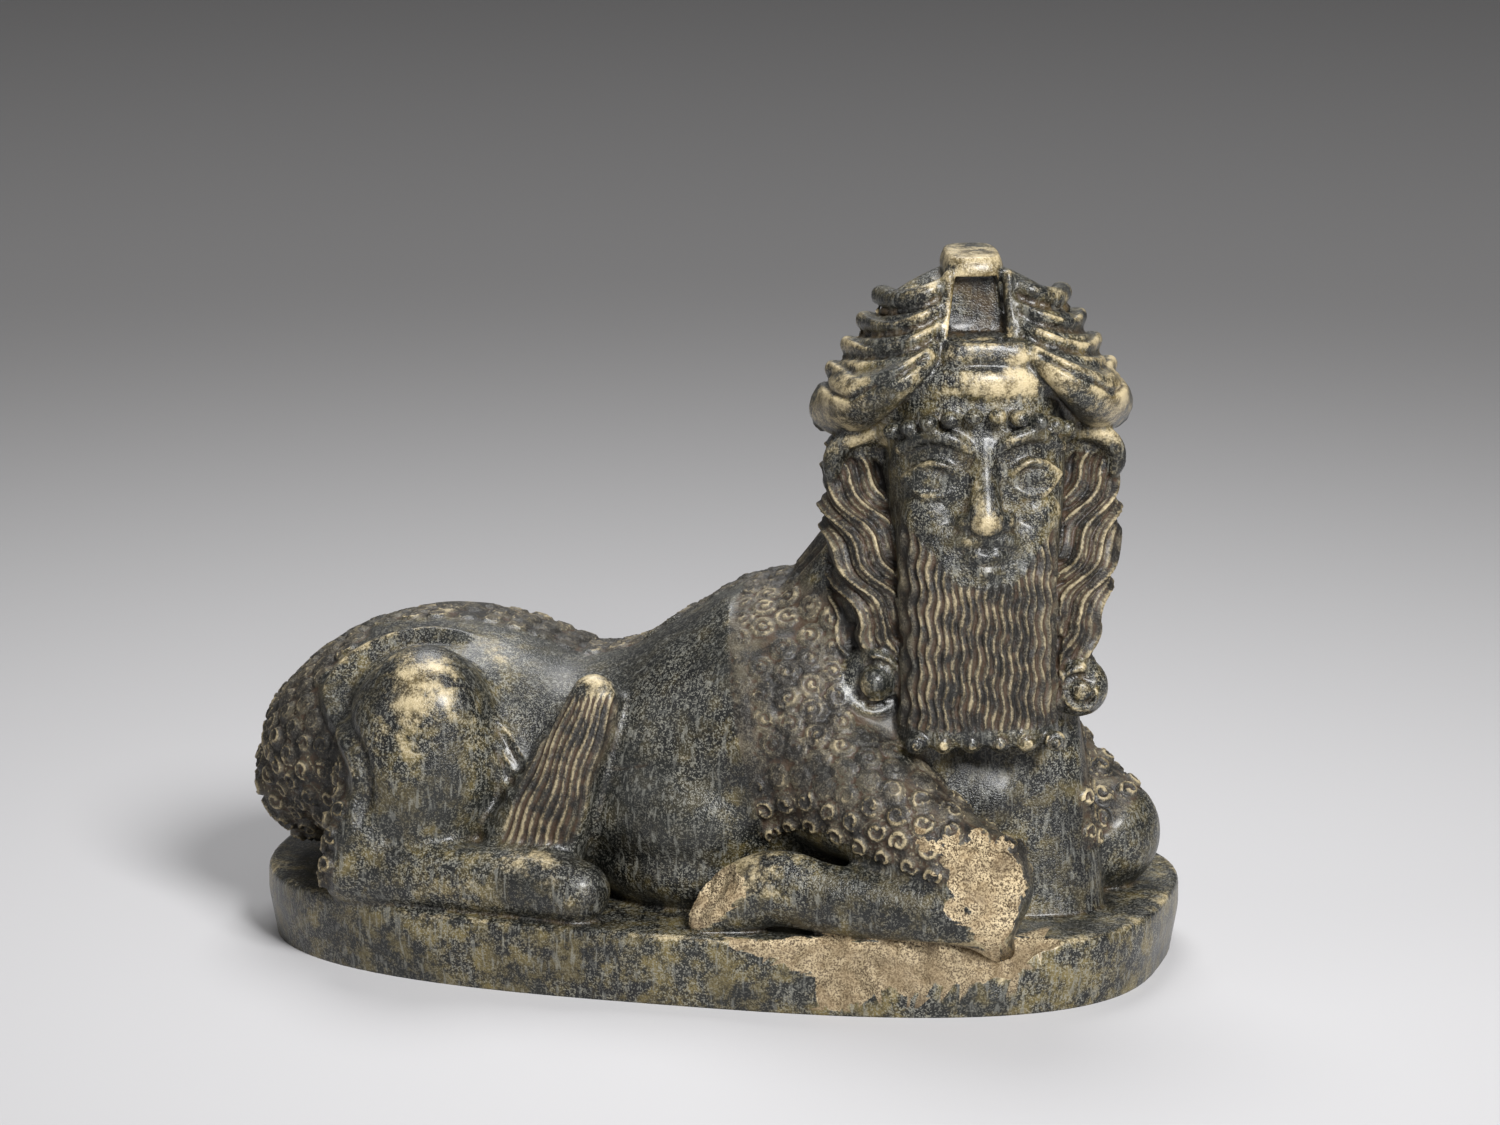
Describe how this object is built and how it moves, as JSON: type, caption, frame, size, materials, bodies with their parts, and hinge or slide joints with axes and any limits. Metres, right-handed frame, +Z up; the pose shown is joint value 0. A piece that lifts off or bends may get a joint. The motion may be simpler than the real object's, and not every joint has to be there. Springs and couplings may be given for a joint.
{
  "type": "human-headed bull statuette",
  "caption": "Human-headed bull lying on an oval plinth, carved as one block of dark green stone, with a horned crown and a long beard",
  "frame": {"origin": "centre of the plinth's oval, on its flat underside", "axes": "+X along the plinth's length towards the bull's chest, +Z up, and so the bull's right side and its face look towards -Y"},
  "size_m": [0.1496, 0.0838, 0.1152],
  "materials": {
    "dark_green_stone": "satin"
  },
  "bodies": {
    "root": {"human_headed_bull": "dark_green_stone"}
  },
  "joints": []
}
